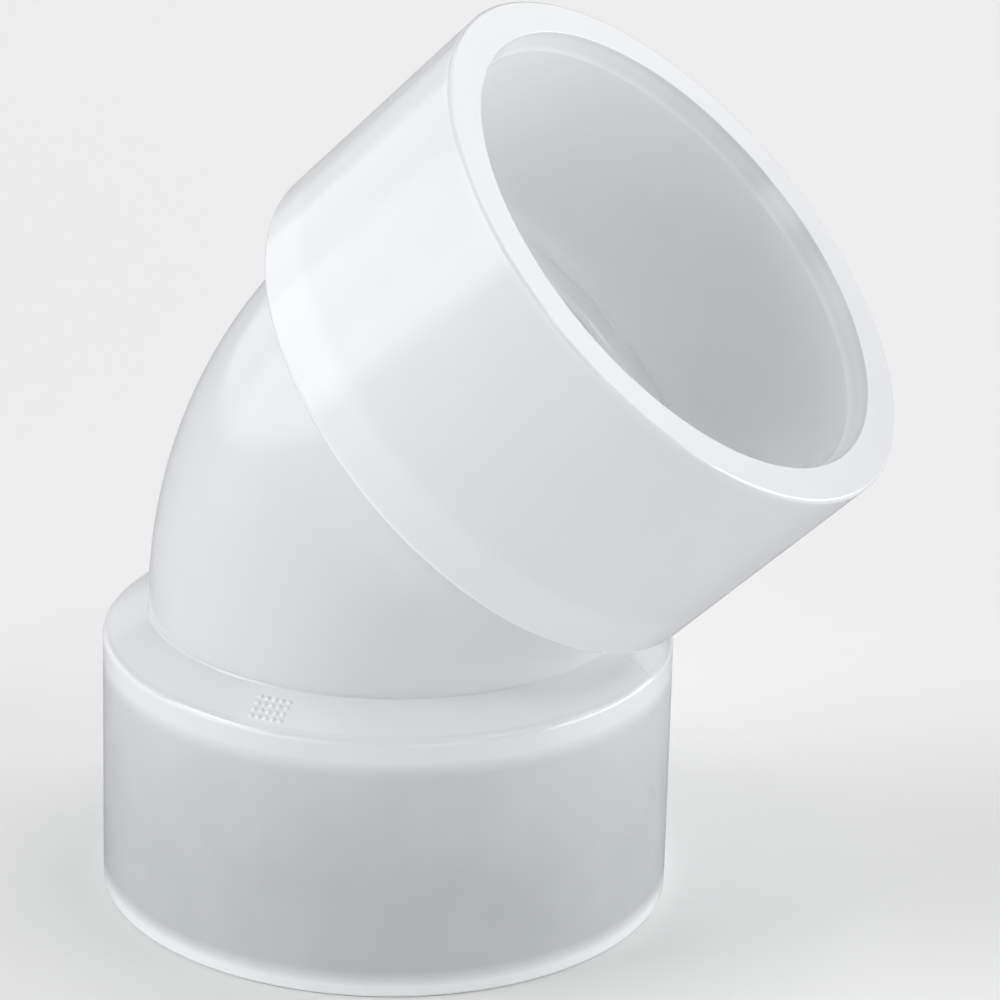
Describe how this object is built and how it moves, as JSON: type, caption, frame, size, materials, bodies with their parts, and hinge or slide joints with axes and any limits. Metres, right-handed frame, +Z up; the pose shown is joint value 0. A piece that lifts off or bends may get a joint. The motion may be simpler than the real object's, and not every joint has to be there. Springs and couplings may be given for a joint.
{
  "type": "pipe elbow",
  "caption": "White 45 degree rigid pipe elbow: a short bend with a wide, plain solvent-weld socket hub at each end.",
  "frame": {"origin": "centre of the lower hub's mouth, on the surface the elbow stands on", "axes": "+Z up along the lower hub's axis, out of its shoulder into the bend; the bend turns towards +X; the upper mouth faces +X and +Z at 45 degrees; Y is across the elbow's plane of symmetry"},
  "size_m": [0.0973, 0.0714, 0.1133],
  "materials": {
    "white_pvc": "moulded, satin to semi-gloss"
  },
  "bodies": {
    "root": {"lower_hub": "white_pvc", "bend": "white_pvc", "upper_hub": "white_pvc"}
  },
  "joints": []
}
